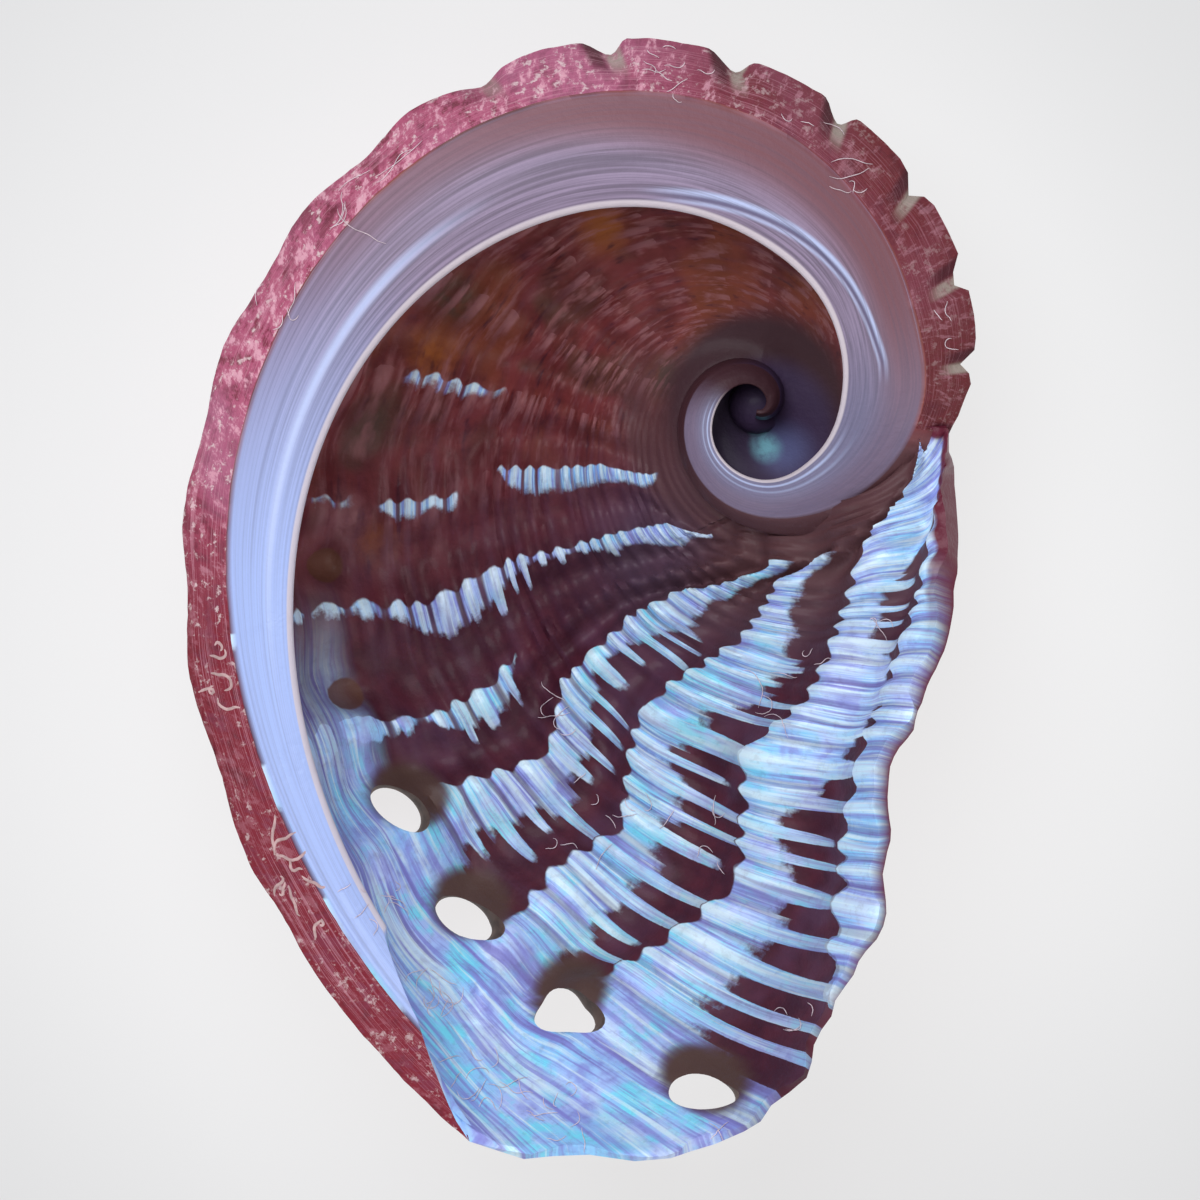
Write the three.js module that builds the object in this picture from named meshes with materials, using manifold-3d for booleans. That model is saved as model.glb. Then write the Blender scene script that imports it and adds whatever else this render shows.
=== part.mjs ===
// An abalone shell lying on its back with the open side up, grown as one piece.
// Millimetres. X runs to the right and Y towards the spire end of the shell, seen from above.
// The shell is a spiral: every line along it (a rail) runs around the apex and widens as it turns.
import * as THREE from 'three';
import { mergeVertices } from 'three/addons/utils/BufferGeometryUtils.js';
import Module from 'manifold-3d';

// Driving dimensions
const wallThickness = 1.15;
const lipThickness = 0.5;
const ledgeThickness = 0.95;
const ledgeCrown = 0.35; // how far the ledge bulges between its two edges, above and below
const fullThicknessRadius = 13; // turns narrower than this have thinner walls
const leastThickness = 0.3; // share of the full thickness kept at the apex
const lipTaper = 22; // degrees of turn over which the wall thins towards the lip
const domeBottom = -12.6; // lowest part of the back, below the rim of the open side
const domeFlatness = 2.2; // the higher, the flatter the middle of the back
const growthPerRadian = 0.35; // how fast every rail widens as it turns
const seamShare = 0.86; // seam with the turn before, as a share of the outline of that turn
const seamDepth = 0.25; // and how far below that outline it lies
// Turns of the folds that cross the shell. Nearer the apex than the sweep radius they lean ahead.
const foldTurns = [-20, 0, 21, 43.6, 64.6, 84, 104.5, 122, 140, 157, 174, 191.5, 208, 236.5, 250, 267, 286,
  306, 326];
const foldSweepRadius = 14;
const foldHeight = 0.42;
const lumpHeight = 0.42; // the same folds where they end as lumps on the outer side
const ribHeight = 0.13;
const restFlatDepth = 0.28; // worn off the lowest part of the back
const domeCentre = { x: -11.9, y: -10.5 }; // from the apex
const restTilt = { x: -4.3, y: 1.5 }; // degrees that the shell leans as it rests

// Rails: distance from the apex before growth, at turns in degrees. The last turn ends at the lip.
const ledgeEdgeRail = [[-460, 3.2], [-300, 3.3], [-240, 4.4], [-180, 5.1], [-135, 5.9], [-90, 5.6], [-45, 4.3],
  [0, 3.45], [30, 3.35], [60, 3.55], [90, 3.9], [135, 4.95], [180, 5.92], [225, 6.45], [250, 6.6]];
const ledgeBackRail = [[-460, 7.6], [-240, 8.6], [-120, 8.8], [-60, 7.6], [0, 6.8], [30, 6.15], [60, 6.3],
  [90, 6.8], [135, 7.25], [180, 7.15], [225, 6.9], [250, 6.9]];
const outlineRail = [[-460, 9.6], [-120, 9.7], [-60, 9.1], [0, 8.6], [30, 8.2], [60, 8.05], [90, 8.12],
  [110, 8.25], [135, 8.18], [180, 7.85], [225, 7.5], [250, 7.4], [360, 7.4]];
// Rail heights against the rim plane of the open side
const ledgeEdgeHeight = [[-460, -8.6], [-360, -8.4], [-270, -8], [-180, -7.3], [-90, -6], [-45, -4.2],
  [0, -2.3], [45, -1.1], [90, -0.5], [135, -0.2], [180, 0], [225, 0], [250, -0.3]];
const ledgeBackHeight = [[-460, -8.8], [-360, -8.6], [-270, -8.3], [-180, -7.7], [-90, -6.5], [-45, -4.8],
  [0, -2.8], [45, -1.9], [90, -1.3], [135, -1], [180, -0.9], [225, -0.7], [250, -0.35]];
const outlineHeight = [[-460, -9.2], [-360, -9.1], [-270, -8.9], [-180, -8.5], [-90, -7.4], [-45, -5.8],
  [0, -3.6], [45, -3.2], [90, -3], [180, -2.8], [225, -1.9], [250, -0.5], [360, -0.5]];
// The growing edge of the last turn: distance from the apex, then height
const lipReach = [[248, 33.8], [259, 32.7], [265, 31.8], [271, 29.9], [277, 26.7], [283, 22.6], [289, 17.4],
  [295, 15.2], [300, 13.9], [306, 12.9], [312, 11.9], [323, 10.4], [334, 9.2], [345, 8.5], [355, 8.2]];
const lipHeight = [[248, -0.5], [265, -0.3], [290, -0.5], [312, -1.2], [335, -2.3], [355, -3.3]];
const ledgeEdgeEnd = 234.5;
const ledgeBackEnd = 241;
const outlineEnd = 248;

// Open pores and healed ones, from the apex: centre, half length and half width, turn of the long way
const openPores = [
  { x: -15.68, y: -17.58, long: 1.31, wide: 0.86, turn: -38 },
  { x: -12.73, y: -22.28, long: 1.37, wide: 0.89, turn: -33 },
  { x: -8.38, y: -26.33, long: 1.26, wide: 1.08, turn: -20 },
  { x: -2.45, y: -29.55, long: 1.45, wide: 0.8, turn: -6 },
];
const healedPores = [{ x: -18.49, y: -6.94 }, { x: -17.64, y: -12.46 }];
const healedPoreRadius = 0.75;
const healedPoreDepth = 0.45;
const poreFlare = 0.08; // share by which an open pore is wider at the top, and narrower at the bottom
const apexPlug = { radius: 1.25, height: 0.8, rise: 0.35 }; // closes the first turn of the spiral

const degree = Math.PI / 180;
// The spiral is made as stretches that meet at these turns
const stretches = [
  { from: 60, columns: 49 },
  { from: -200, to: 60, columns: 19 },
  { from: -460, to: -200, columns: 11 },
];
const domeRowCount = 22;
const outerRowsBeforeDome = [
  { zone: 'ledge', at: 0 },
  { zone: 'ledge', at: 0.5 },
  { zone: 'ledge', at: 1 },
  { zone: 'strip', at: 0.55 },
];

const clamp01 = (value) => Math.min(1, Math.max(0, value));
const mix = (a, b, t) => a + (b - a) * t;

function smooth(from, to, value) {
  const t = clamp01((value - from) / (to - from));
  return t * t * (3 - 2 * t);
}

// Smooth curve through [turn, value] pairs, with slopes that never overshoot
function along(pairs, turn) {
  const last = pairs.length - 1;
  if (turn <= pairs[0][0]) return pairs[0][1];
  if (turn >= pairs[last][0]) return pairs[last][1];
  const i = pairs.findIndex((pair) => pair[0] > turn) - 1;
  const slope = (k) => (pairs[k + 1][1] - pairs[k][1]) / (pairs[k + 1][0] - pairs[k][0]);
  const tangent = (k) => (k === 0 || k === last ? 0 : (slope(k - 1) + slope(k)) / 2);
  const span = pairs[i + 1][0] - pairs[i][0];
  const t = (turn - pairs[i][0]) / span;
  const rise = pairs[i + 1][1] - pairs[i][1];
  const bend = t * (1 - t) * ((1 - t) * (tangent(i) * span - rise) - t * (tangent(i + 1) * span - rise));
  return pairs[i][1] + rise * t + bend;
}

const railRadius = (rail, turn) => along(rail, turn) * Math.exp(growthPerRadian * turn * degree);
const outlineRadius = (turn) => railRadius(outlineRail, turn);
const seamRadius = (turn) => seamShare * outlineRadius(turn - 360);
const sizeShare = (turn) => Math.min(1, Math.max(leastThickness, outlineRadius(turn) / fullThicknessRadius));

// The outline seen from above, around the centre of the dome, with its height and how steeply it falls
function makeOutline() {
  const points = [];
  const add = (turn, radius, height, steepness) => {
    const x = radius * Math.cos(turn * degree) - domeCentre.x;
    const y = radius * Math.sin(turn * degree) - domeCentre.y;
    points.push({ angle: Math.atan2(y, x), reach: Math.hypot(x, y), height, steepness });
  };
  for (let turn = -5; turn < 248; turn += 5) {
    add(turn, outlineRadius(turn), along(outlineHeight, turn), mix(0.55, 0.7, smooth(190, 248, turn)));
  }
  for (let turn = 249; turn < 352; turn += 4) {
    add(turn, along(lipReach, turn), along(lipHeight, turn), mix(0.82, 0.6, smooth(315, 350, turn)));
  }
  points.sort((a, b) => a.angle - b.angle);
  const first = points[0];
  const final = points[points.length - 1];
  points.unshift({ ...final, angle: final.angle - 2 * Math.PI });
  points.push({ ...first, angle: first.angle + 2 * Math.PI });
  return points;
}

const outline = makeOutline();

// Height of the back of the shell under a point seen from above
function domeHeight(x, y) {
  const dx = x - domeCentre.x;
  const dy = y - domeCentre.y;
  const angle = Math.atan2(dy, dx);
  const next = Math.max(1, outline.findIndex((point) => point.angle > angle));
  const a = outline[next - 1];
  const b = outline[next];
  const t = (angle - a.angle) / (b.angle - a.angle);
  const reach = mix(a.reach, b.reach, t);
  const rim = mix(a.height, b.height, t);
  const steepness = mix(a.steepness, b.steepness, t);
  const out = clamp01(Math.hypot(dx, dy) / reach);
  return rim + (domeBottom - rim) * (1 - out ** domeFlatness) ** steepness;
}

const place = (turn, radius, z) => {
  return new THREE.Vector3(radius * Math.cos(turn * degree), radius * Math.sin(turn * degree), z);
};

const foldNumbers = foldTurns.map((turn, number) => [turn, number]);

// Folds lean ahead towards the apex, and more so near the growing edge
function foldWave(turn, radius) {
  const sweep = mix(0, mix(26, 50, smooth(190, 260, turn)), smooth(150, 180, turn));
  const inwards = Math.max(0, Math.log(foldSweepRadius / Math.max(radius, 3)));
  return Math.cos(2 * Math.PI * along(foldNumbers, turn - sweep * inwards));
}

// By the growing edge the back climbs to a seam high on the side of the turn before
function backHeight(across, turn, x, y) {
  const seamHeight = along(outlineHeight, turn - 360) - seamDepth;
  return mix(domeHeight(x, y), seamHeight, smooth(298, 350, turn) * smooth(0.32, 0, across));
}

// Back of the shell without its relief: across is 1 at the outline and 0 at the seam with the turn before
function plainBack(across, turn) {
  const radius = mix(seamRadius(turn), outlineRadius(turn), across);
  const spot = place(turn, radius, 0);
  const wide = backHeight(across, turn, spot.x, spot.y);
  const size = clamp01(outlineRadius(turn) / 9);
  const top = along(outlineHeight, turn);
  const early = top + (wide - 0.45 * size - top) * Math.sqrt(1 - clamp01(across) ** 3);
  return spot.setZ(mix(early, wide, smooth(-70, 20, turn)));
}

function inwardNormal(across, turn) {
  const step = 0.004;
  const low = Math.max(0, across - step);
  const high = Math.min(0.999, across + step);
  const acrossWay = plainBack(low, turn).sub(plainBack(high, turn));
  const inside = Math.min(across, 0.999);
  const turnWay = plainBack(inside, turn + 0.4).sub(plainBack(inside, turn - 0.4));
  return acrossWay.cross(turnWay).normalize().negate();
}

function reliefHeight(across, turn, row) {
  const radius = mix(seamRadius(turn), outlineRadius(turn), across);
  const folds = foldHeight * smooth(110, 190, turn) * smooth(5, 9, radius) * smooth(0.97, 0.7, across);
  const ribs = ribHeight * smooth(4, 12, radius) * smooth(1, 0.92, across) * (row % 2 === 0 ? 1 : -1);
  return folds * foldWave(turn, radius) + ribs;
}

function lumpSize(turn) {
  return lumpHeight * smooth(-10, 15, turn) * mix(1, 0.35, smooth(115, 160, turn)) * smooth(245, 215, turn);
}

function outerPoint(row, turn, index) {
  const edge = railRadius(ledgeEdgeRail, turn);
  const back = railRadius(ledgeBackRail, turn);
  const edgeZ = along(ledgeEdgeHeight, turn);
  const backZ = along(ledgeBackHeight, turn);
  if (row.zone === 'ledge') {
    const crown = ledgeCrown * Math.sin(Math.PI * row.at) * sizeShare(turn);
    return place(turn, mix(edge, back, row.at), mix(edgeZ, backZ, row.at) + crown);
  }
  const lump = lumpSize(turn) * foldWave(turn, outlineRadius(turn));
  if (row.zone === 'strip') {
    const radius = mix(back, outlineRadius(turn), row.at) + 0.35 * lump;
    return place(turn, radius, mix(backZ, along(outlineHeight, turn), row.at ** 1.5) + 0.7 * lump);
  }
  const spot = plainBack(row.at, turn);
  spot.addScaledVector(inwardNormal(row.at, turn), reliefHeight(row.at, turn, index));
  const swell = 1 + (lump * smooth(0.6, 1, row.at)) / Math.max(1, Math.hypot(spot.x, spot.y));
  return spot.set(spot.x * swell, spot.y * swell, spot.z);
}

function thicknessAt(turn, endTurn) {
  return mix(lipThickness, wallThickness * sizeShare(turn), smooth(0, lipTaper, endTurn - turn));
}

// Inside wall: the back moved in by the thickness, and held back to lie under the ledge
function innerDomePoint(row, turn, index, endTurn) {
  const thickness = thicknessAt(turn, endTurn);
  const inward = inwardNormal(row.at, turn);
  const spot = plainBack(row.at, turn).addScaledVector(inward, thickness + reliefHeight(row.at, turn, index));
  const edge = railRadius(ledgeEdgeRail, turn);
  const shelf = outlineRadius(turn) - edge;
  const hold = edge + 0.3 * shelf + 40 * smooth(228, 262, turn);
  const radius = Math.hypot(spot.x, spot.y);
  const soft = 0.05 * outlineRadius(turn);
  const held = hold - soft * Math.log(1 + Math.exp(Math.min(60, (hold - radius) / soft)));
  const scale = Math.max(held, 0.05) / Math.max(radius, 0.05);
  const climb = 0.25 * outlineRadius(turn - 360) * smooth(0.16, 0, row.at) ** 2 * smooth(352, 310, turn);
  return spot.set(spot.x * scale, spot.y * scale, spot.z + climb);
}

function innerPoint(row, turn, index, endTurn) {
  if (row.zone === 'dome') return innerDomePoint(row, turn, index, endTurn);
  const wall = innerDomePoint({ zone: 'dome', at: 1 }, turn, index, endTurn);
  const edge = railRadius(ledgeEdgeRail, turn);
  const depth = ledgeThickness * sizeShare(turn) * mix(1, 0.6, smooth(225, 245, turn));
  const under = place(turn, edge * 1.005, along(ledgeEdgeHeight, turn) - depth);
  const t = index / (outerRowsBeforeDome.length + 1);
  const droop = ledgeCrown * sizeShare(turn) * Math.sin(Math.PI * t);
  return under.lerp(wall, t).setZ(mix(under.z, wall.z, t) - droop);
}

function makeRows() {
  const rows = outerRowsBeforeDome.map((row) => ({ ...row }));
  for (let i = 0; i <= domeRowCount; i += 1) {
    rows.push({ zone: 'dome', at: 1 - (i / domeRowCount) ** 1.1 });
  }
  return rows;
}

// Turn at which a row meets the growing edge
function lipTurn(row) {
  if (row.zone === 'ledge') return mix(ledgeEdgeEnd, ledgeBackEnd, row.at);
  if (row.zone === 'strip') return mix(ledgeBackEnd, outlineEnd, row.at);
  let low = outlineEnd;
  let high = 354;
  for (let i = 0; i < 30; i += 1) {
    const middle = (low + high) / 2;
    const radius = mix(seamRadius(middle), outlineRadius(middle), row.at);
    if (radius < along(lipReach, middle)) low = middle;
    else high = middle;
  }
  return (low + high) / 2;
}

// Columns stand closer together in the later part of a stretch, where the folds are
function columnShare(column, columnCount) {
  const share = column / columnCount;
  return share < 0.3 ? share * 1.5 : 0.45 + ((share - 0.3) * 0.55) / 0.7;
}

// One stretch of the spiral as a closed sheet: an outer skin, an inner skin and the edges between them
function makeStretch(firstTurn, lastTurnOf, columnCount) {
  const rows = makeRows();
  const positions = [];
  const indices = [];
  const width = columnCount + 1;
  const skinSize = rows.length * width;
  for (const skin of [outerPoint, innerPoint]) {
    rows.forEach((row, index) => {
      const endTurn = lipTurn(row);
      const lastTurn = lastTurnOf(row);
      for (let column = 0; column <= columnCount; column += 1) {
        const turn = mix(firstTurn, lastTurn, columnShare(column, columnCount));
        positions.push(...skin(row, turn, index, endTurn).toArray());
      }
    });
  }
  const quad = (a, b, c, d) => indices.push(a, b, c, a, c, d);
  const at = (skin, row, column) => skin * skinSize + row * width + column;
  for (let row = 0; row < rows.length - 1; row += 1) {
    for (let column = 0; column < columnCount; column += 1) {
      quad(at(0, row, column), at(0, row + 1, column), at(0, row + 1, column + 1), at(0, row, column + 1));
      quad(at(1, row, column), at(1, row, column + 1), at(1, row + 1, column + 1), at(1, row + 1, column));
    }
    quad(at(0, row, 0), at(1, row, 0), at(1, row + 1, 0), at(0, row + 1, 0));
    const end = columnCount;
    quad(at(0, row, end), at(0, row + 1, end), at(1, row + 1, end), at(1, row, end));
  }
  const seam = rows.length - 1;
  for (let column = 0; column < columnCount; column += 1) {
    quad(at(0, 0, column), at(0, 0, column + 1), at(1, 0, column + 1), at(1, 0, column));
    quad(at(0, seam, column), at(1, seam, column), at(1, seam, column + 1), at(0, seam, column + 1));
  }
  const geometry = new THREE.BufferGeometry();
  geometry.setAttribute('position', new THREE.Float32BufferAttribute(positions, 3));
  geometry.setIndex(indices);
  return geometry;
}

const wasm = await Module();
wasm.setup();

function solidOf(geometry) {
  const plain = geometry.clone();
  plain.deleteAttribute('normal');
  plain.deleteAttribute('uv');
  const merged = mergeVertices(plain, 1e-5);
  return new wasm.Manifold(new wasm.Mesh({
    numProp: 3,
    vertProperties: new Float32Array(merged.attributes.position.array),
    triVerts: new Uint32Array(merged.index.array),
  }));
}

function geometryOf(solid) {
  const mesh = solid.getMesh();
  const geometry = new THREE.BufferGeometry();
  geometry.setAttribute('position', new THREE.BufferAttribute(new Float32Array(mesh.vertProperties), 3));
  geometry.setIndex(new THREE.BufferAttribute(new Uint32Array(mesh.triVerts), 1));
  return geometry;
}

function makeApexPlug() {
  const plug = new THREE.SphereGeometry(1, 12, 8);
  plug.rotateX(Math.PI / 2);
  plug.scale(apexPlug.radius, apexPlug.radius, apexPlug.height);
  plug.translate(0, 0, domeHeight(0, 0) + apexPlug.rise);
  return plug;
}

function poreCutter(pore) {
  const cutter = new THREE.CylinderGeometry(1 + poreFlare, 1 - poreFlare, 12, 16);
  cutter.rotateX(Math.PI / 2);
  cutter.scale(pore.long, pore.wide, 1);
  cutter.rotateZ(pore.turn * degree);
  cutter.translate(pore.x, pore.y, domeHeight(pore.x, pore.y) + 1);
  return cutter;
}

function healedPoreCutter(pore) {
  const cutter = new THREE.SphereGeometry(1, 12, 8);
  cutter.rotateX(Math.PI / 2);
  cutter.scale(healedPoreRadius, healedPoreRadius, healedPoreDepth * 2);
  cutter.translate(pore.x, pore.y, domeHeight(pore.x, pore.y) + wallThickness * 1.3);
  return cutter;
}

function makeShell() {
  let shell = solidOf(makeApexPlug());
  for (const { from, to, columns } of stretches) {
    const lastTurnOf = to === undefined ? lipTurn : () => to;
    shell = shell.add(solidOf(makeStretch(from, lastTurnOf, columns)));
  }
  for (const pore of openPores) shell = shell.subtract(solidOf(poreCutter(pore)));
  for (const pore of healedPores) shell = shell.subtract(solidOf(healedPoreCutter(pore)));
  const geometry = geometryOf(shell);
  geometry.rotateX(restTilt.x * degree);
  geometry.rotateY(restTilt.y * degree);
  return geometry;
}

// Wears a small flat where the shell rests, and stands it on the origin
function standOnFlat(geometry) {
  geometry.computeBoundingBox();
  const lowest = geometry.boundingBox.min.z;
  const worn = new THREE.BoxGeometry(40, 40, 4);
  worn.translate(0, 0, lowest + restFlatDepth - 2);
  worn.translate(domeCentre.x, domeCentre.y, 0);
  const standing = geometryOf(solidOf(geometry).subtract(solidOf(worn)));
  standing.computeBoundingBox();
  const { min, max } = standing.boundingBox;
  standing.translate(-(min.x + max.x) / 2, -(min.y + max.y) / 2, -min.z);
  return standing;
}

const group = new THREE.Group();
const nacre = new THREE.MeshStandardMaterial({ color: '#8a6f8c', roughness: 0.28, metalness: 0.15 });
const shellMesh = new THREE.Mesh(standOnFlat(makeShell()), nacre);
shellMesh.name = 'shell';
group.add(shellMesh);

export default group;
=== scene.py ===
# Looks of a small abalone shell lying on its back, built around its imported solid. Metres, same frame.
import functools
import math

import bmesh
import bpy
import numpy as np
from mathutils import Matrix, Vector
from mathutils.bvhtree import BVHTree


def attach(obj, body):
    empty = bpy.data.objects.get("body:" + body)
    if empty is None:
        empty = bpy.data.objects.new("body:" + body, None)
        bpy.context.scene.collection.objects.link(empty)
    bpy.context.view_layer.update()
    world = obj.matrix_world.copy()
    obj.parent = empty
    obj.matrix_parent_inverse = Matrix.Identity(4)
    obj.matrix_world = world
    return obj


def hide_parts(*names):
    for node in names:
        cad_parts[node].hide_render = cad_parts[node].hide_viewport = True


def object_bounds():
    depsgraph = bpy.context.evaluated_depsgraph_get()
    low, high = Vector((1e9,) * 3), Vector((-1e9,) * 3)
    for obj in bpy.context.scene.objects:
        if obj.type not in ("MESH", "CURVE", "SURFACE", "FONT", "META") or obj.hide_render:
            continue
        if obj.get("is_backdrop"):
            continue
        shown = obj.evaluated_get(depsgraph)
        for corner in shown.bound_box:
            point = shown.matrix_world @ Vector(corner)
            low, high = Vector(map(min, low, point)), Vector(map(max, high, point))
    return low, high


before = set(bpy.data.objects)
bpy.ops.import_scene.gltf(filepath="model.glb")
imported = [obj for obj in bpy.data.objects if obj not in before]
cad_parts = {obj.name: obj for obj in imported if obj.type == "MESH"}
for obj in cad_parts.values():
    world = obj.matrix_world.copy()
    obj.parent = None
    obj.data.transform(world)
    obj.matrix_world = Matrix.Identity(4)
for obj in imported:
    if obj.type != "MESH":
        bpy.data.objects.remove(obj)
cadBox = [list(corner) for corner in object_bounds()]
print("frame loaded")

# The spiral: millimetres from the apex, turns in degrees, the open side's rim at height 0.
spiral = {
    "growth": 0.35,  # how fast every rail widens, per radian
    "seamShare": 0.86, "seamDepth": 0.25,  # where a whorl joins the one before it
    "domeCentre": (-11.9, -10.5), "domeBottom": -12.6, "domeFlatness": 2.2,
    "wall": 1.15, "ledgeWall": 0.95, "noseWall": 0.62, "lipWall": 0.5, "lipTaper": 22.0,
    "ledgeCrown": 0.35, "lumpHeight": 0.42, "lipWave": 0.6,
    "ledgeEdgeEnd": 234.5, "ledgeBackEnd": 241.0, "outlineEnd": 248.0,  # turns where the rails end
    "ribCount": 27, "rowsPerRib": (3, 5),  # outer side, inner side
    "restTilt": (-4.3, 1.5), "place": (7.8768, 8.499, 11.9637),  # the apex in the part's frame
}
ledgeEdgeRail = [(-460, 3.2), (-300, 3.3), (-240, 4.4), (-180, 5.1), (-135, 5.9), (-90, 5.6), (-45, 4.3),
                 (0, 3.45), (30, 3.35), (60, 3.55), (90, 3.9), (135, 4.95), (180, 5.92), (225, 6.45), (250, 6.6)]
ledgeBackRail = [(-460, 7.6), (-240, 8.6), (-120, 8.8), (-60, 7.6), (0, 6.8), (30, 6.15), (60, 6.3), (90, 6.8),
                 (135, 7.25), (180, 7.15), (225, 6.9), (250, 6.9)]
outlineRail = [(-460, 9.6), (-120, 9.7), (-60, 9.1), (0, 8.6), (30, 8.2), (60, 8.05), (90, 8.12), (110, 8.25),
               (135, 8.18), (180, 7.85), (225, 7.5), (250, 7.4), (360, 7.4)]
ledgeEdgeHeight = [(-460, -8.6), (-360, -8.4), (-270, -8), (-180, -7.3), (-90, -6), (-45, -4.2), (0, -2.3),
                   (45, -1.1), (90, -0.5), (135, -0.2), (180, 0), (225, 0), (250, -0.3)]
ledgeBackHeight = [(-460, -8.8), (-360, -8.6), (-270, -8.3), (-180, -7.7), (-90, -6.5), (-45, -4.8), (0, -2.8),
                   (45, -1.9), (90, -1.3), (135, -1), (180, -0.9), (225, -0.7), (250, -0.35)]
outlineHeight = [(-460, -9.2), (-360, -9.1), (-270, -8.9), (-180, -8.5), (-90, -7.4), (-45, -5.8), (0, -3.6),
                 (45, -3.2), (90, -3), (180, -2.8), (225, -1.9), (250, -0.5), (360, -0.5)]
lipReach = [(248, 33.8), (259, 32.7), (265, 31.8), (271, 29.9), (277, 26.7), (283, 22.6), (289, 17.4),
            (295, 15.2), (300, 13.9), (306, 12.9), (312, 11.9), (323, 10.4), (334, 9.2), (345, 8.5), (355, 8.2)]
lipHeight = [(248, -0.5), (265, -0.3), (290, -0.5), (312, -1.2), (335, -2.3), (355, -3.3)]
# Crests of the folds, one line each: distance from the apex, turn. Outside a line's ends it goes on straight.
foldCrests = [
    [(20, -20)], [(20, 0)], [(20, 21)], [(20, 43.6)], [(20, 64.6)], [(20, 84)], [(20, 104.5)], [(20, 122)],
    [(5, 145), (14, 140)], [(5, 166), (14, 157)], [(5, 192), (9, 178), (14, 174)],
    [(5.4, 213), (7.2, 200), (11.4, 193), (13.6, 196), (16.8, 194), (20, 191)],
    [(6.0, 250), (6.4, 232), (7.6, 224), (9.2, 219), (12.3, 212), (16.8, 210), (21, 204)],
    [(6.6, 262), (8, 243), (10, 230), (13.6, 226), (17, 226), (19.2, 224), (23, 216)],
    [(7, 275), (8.7, 247), (10.6, 238.7), (14.6, 234.5), (17.4, 239), (18.4, 237), (22, 229)],
    [(7, 300), (7.6, 277.6), (9.9, 267), (12.5, 253.2), (14.4, 248.9), (19.2, 252), (21.4, 246.6), (27, 243)],
    [(7.0, 351), (7.32, 336), (7.42, 312), (8, 303), (9.1, 296), (10.8, 287.5), (12.8, 280.5), (14.8, 268),
     (20.5, 268), (24.2, 258.4), (26, 253)],
    [(8, 352), (9.1, 326), (9.9, 317), (12.2, 300), (15.1, 288), (18.2, 282), (25, 277)],
    [(9, 345), (12.2, 316), (15.1, 304), (18.2, 298), (25, 292)],
]
openPores = [(-15.68, -17.58, 1.31, 0.86, -38), (-12.73, -22.28, 1.37, 0.89, -33),
             (-8.38, -26.33, 1.26, 1.08, -20), (-2.45, -29.55, 1.45, 0.80, -6)]  # x, y, half length, half width, turn
poreCorners = [0.0, 0.0, 0.13, 0.03]  # how three-cornered each one is
healedPores = [(-18.49, -6.94), (-17.64, -12.46)]


def smooth(low, high, value):
    t = np.clip((np.asarray(value, float) - low) / (high - low), 0, 1)
    return t * t * (3 - 2 * t)


def mix(a, b, t):
    return a + (b - a) * t


def along(pairs, value):  # a smooth curve through the pairs
    xs, ys = np.array([p[0] for p in pairs], float), np.array([p[1] for p in pairs], float)
    value = np.clip(np.asarray(value, float), xs[0], xs[-1])
    slopes = np.diff(ys) / np.diff(xs)
    tangents = np.concatenate([[0], (slopes[:-1] + slopes[1:]) / 2, [0]])
    i = np.clip(np.searchsorted(xs, value, side="right") - 1, 0, len(xs) - 2)
    span, rise = xs[i + 1] - xs[i], ys[i + 1] - ys[i]
    t = (value - xs[i]) / span
    bend = t * (1 - t) * ((1 - t) * (tangents[i] * span - rise) - t * (tangents[i + 1] * span - rise))
    return ys[i] + rise * t + bend


def railRadius(rail, turn):
    return along(rail, turn) * np.exp(spiral["growth"] * np.radians(turn))


def outlineRadius(turn):
    return railRadius(outlineRail, turn)


def seamRadius(turn):
    return spiral["seamShare"] * outlineRadius(turn - 360)


def sizeShare(turn):
    return np.clip(outlineRadius(turn) / 13, 0.3, 1)


def makeOutline():
    turns = np.concatenate([np.arange(-5, 248, 1.5), np.arange(249, 352, 1.5)])
    late = turns > 248.5
    reach = np.where(late, along(lipReach, turns), outlineRadius(turns))
    height = np.where(late, along(lipHeight, turns), along(outlineHeight, turns))
    steep = np.where(late, mix(0.82, 0.6, smooth(315, 350, turns)), mix(0.55, 0.7, smooth(190, 248, turns)))
    x = reach * np.cos(np.radians(turns)) - spiral["domeCentre"][0]
    y = reach * np.sin(np.radians(turns)) - spiral["domeCentre"][1]
    angle = np.arctan2(y, x)
    order = np.argsort(angle)
    table = np.array([angle, np.hypot(x, y), height, steep])[:, order]
    before, after = table[:, -1:].copy(), table[:, :1].copy()
    before[0] -= 2 * math.pi
    after[0] += 2 * math.pi
    return np.concatenate([before, table, after], axis=1)


outlineTable = makeOutline()


def domeHeight(x, y):
    dx, dy = x - spiral["domeCentre"][0], y - spiral["domeCentre"][1]
    angle = np.arctan2(dy, dx)
    reach, rim, steep = (np.interp(angle, outlineTable[0], outlineTable[k]) for k in (1, 2, 3))
    out = np.clip(np.hypot(dx, dy) / reach, 0, 1)
    return rim + (spiral["domeBottom"] - rim) * (1 - out ** spiral["domeFlatness"]) ** steep


def polar(turn, radius, z):
    a = np.radians(turn)
    return np.stack([radius * np.cos(a), radius * np.sin(a), z + 0 * a], axis=-1)


def plainBack(across, turn):
    radius = mix(seamRadius(turn), outlineRadius(turn), across)
    x, y = radius * np.cos(np.radians(turn)), radius * np.sin(np.radians(turn))
    seamHeight = along(outlineHeight, turn - 360) - spiral["seamDepth"]
    wide = mix(domeHeight(x, y), seamHeight, smooth(298, 350, turn) * smooth(0.32, 0, across))
    top = along(outlineHeight, turn)
    size = np.clip(outlineRadius(turn) / 9, 0, 1)
    early = top + (wide - 0.45 * size - top) * np.sqrt(1 - np.clip(across, 0, 1) ** 3)
    return np.stack([x, y, mix(early, wide, smooth(-70, 20, turn))], axis=-1)


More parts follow.
